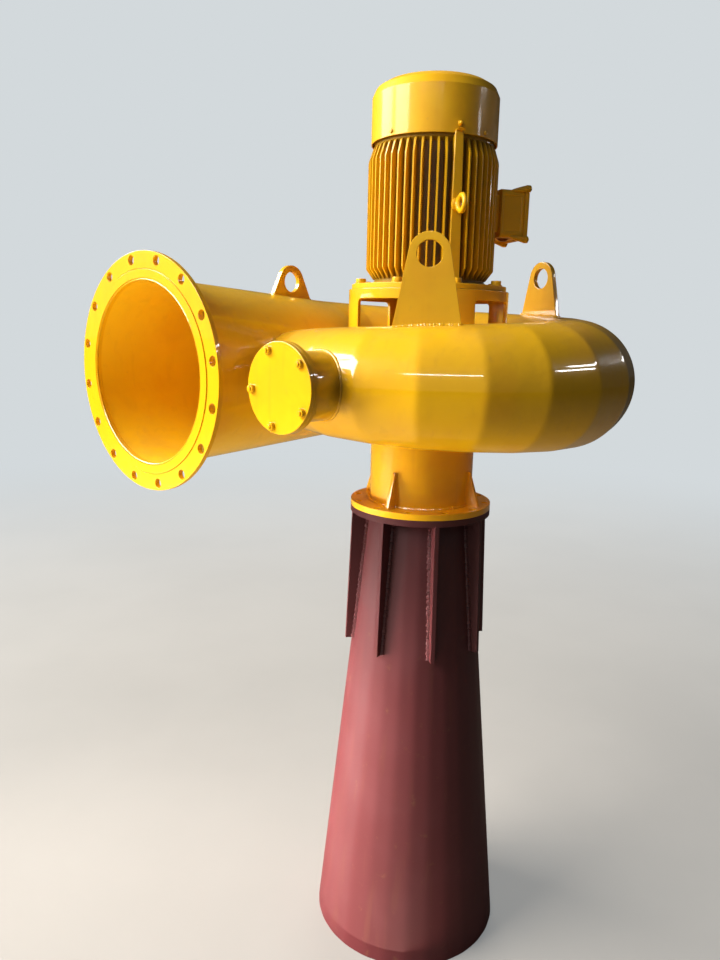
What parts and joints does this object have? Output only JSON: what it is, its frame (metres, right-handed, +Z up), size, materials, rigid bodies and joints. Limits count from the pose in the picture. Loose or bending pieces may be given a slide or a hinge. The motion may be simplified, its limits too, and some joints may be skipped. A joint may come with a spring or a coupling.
{
  "type": "vertical axial-flow hydro turbine generator set with spiral casing",
  "caption": "Vertical propeller-type hydro turbine set: flanged inlet pipe, welded spiral casing, finned generator on a windowed stand, and a draft cone below.",
  "frame": {"origin": "on the floor, under the middle of the part's outer box", "axes": "+Z up along the machine's upright axis; the inlet flange faces -X and lies on the +Y side of the axis, so water flows in along +X"},
  "size_m": [1.14, 1.194, 2.27],
  "materials": {
    "yellow_paint": "glossy yellow enamel over welded steel plate, brushed on thick, with soft runs and a few dull patches",
    "red_primer": "matt red-brown primer with dusty patches and rough weld beads",
    "bare_steel": "turned steel, lightly dulled"
  },
  "bodies": {
    "root": {"casing_strakes_1": "yellow_paint", "casing_strakes_2": "yellow_paint", "casing_strakes_3": "yellow_paint", "casing_strakes_4": "yellow_paint", "casing_strakes_5": "yellow_paint", "casing_strakes_6": "yellow_paint", "casing_strakes_7": "yellow_paint", "casing_strakes_8": "yellow_paint", "casing_tail": "yellow_paint", "inlet_pipe": "yellow_paint", "inlet_flange": "yellow_paint", "hand_hole_neck": "yellow_paint", "hand_hole_flange": "yellow_paint", "hand_hole_cover": "yellow_paint", "stay_ring_top": "yellow_paint", "stay_ring_bottom": "yellow_paint", "stay_vane_1": "yellow_paint", "stay_vane_2": "yellow_paint", "stay_vane_3": "yellow_paint", "stay_vane_4": "yellow_paint", "stay_vane_5": "yellow_paint", "stay_vane_6": "yellow_paint", "head_cover": "yellow_paint", "stand_foot": "yellow_paint", "stand_crown": "yellow_paint", "stand_column_1": "yellow_paint", "stand_column_2": "yellow_paint", "stand_column_3": "yellow_paint", "stand_column_4": "yellow_paint", "stand_top_ring": "yellow_paint", "generator_flange": "yellow_paint", "generator_frame": "yellow_paint", "fan_cowl": "yellow_paint", "cooling_fan": "yellow_paint", "terminal_box": "yellow_paint", "terminal_box_lid": "yellow_paint", "eye_bolt": "yellow_paint", "lifting_lug_front": "yellow_paint", "lifting_lug_side": "yellow_paint", "lifting_lug_inlet": "yellow_paint", "throat_pipe": "yellow_paint", "throat_flange": "yellow_paint", "throat_gusset_1": "yellow_paint", "throat_gusset_2": "yellow_paint", "throat_gusset_3": "yellow_paint", "throat_gusset_4": "yellow_paint", "draft_flange": "red_primer", "draft_cone": "red_primer", "draft_fin_1": "red_primer", "draft_fin_2": "red_primer", "draft_fin_3": "red_primer", "draft_fin_4": "red_primer", "draft_fin_5": "red_primer", "draft_fin_6": "red_primer", "draft_fin_7": "red_primer", "draft_fin_8": "red_primer", "turbine_shaft": "bare_steel", "shaft_coupling": "bare_steel", "runner": "bare_steel"}
  },
  "joints": []
}
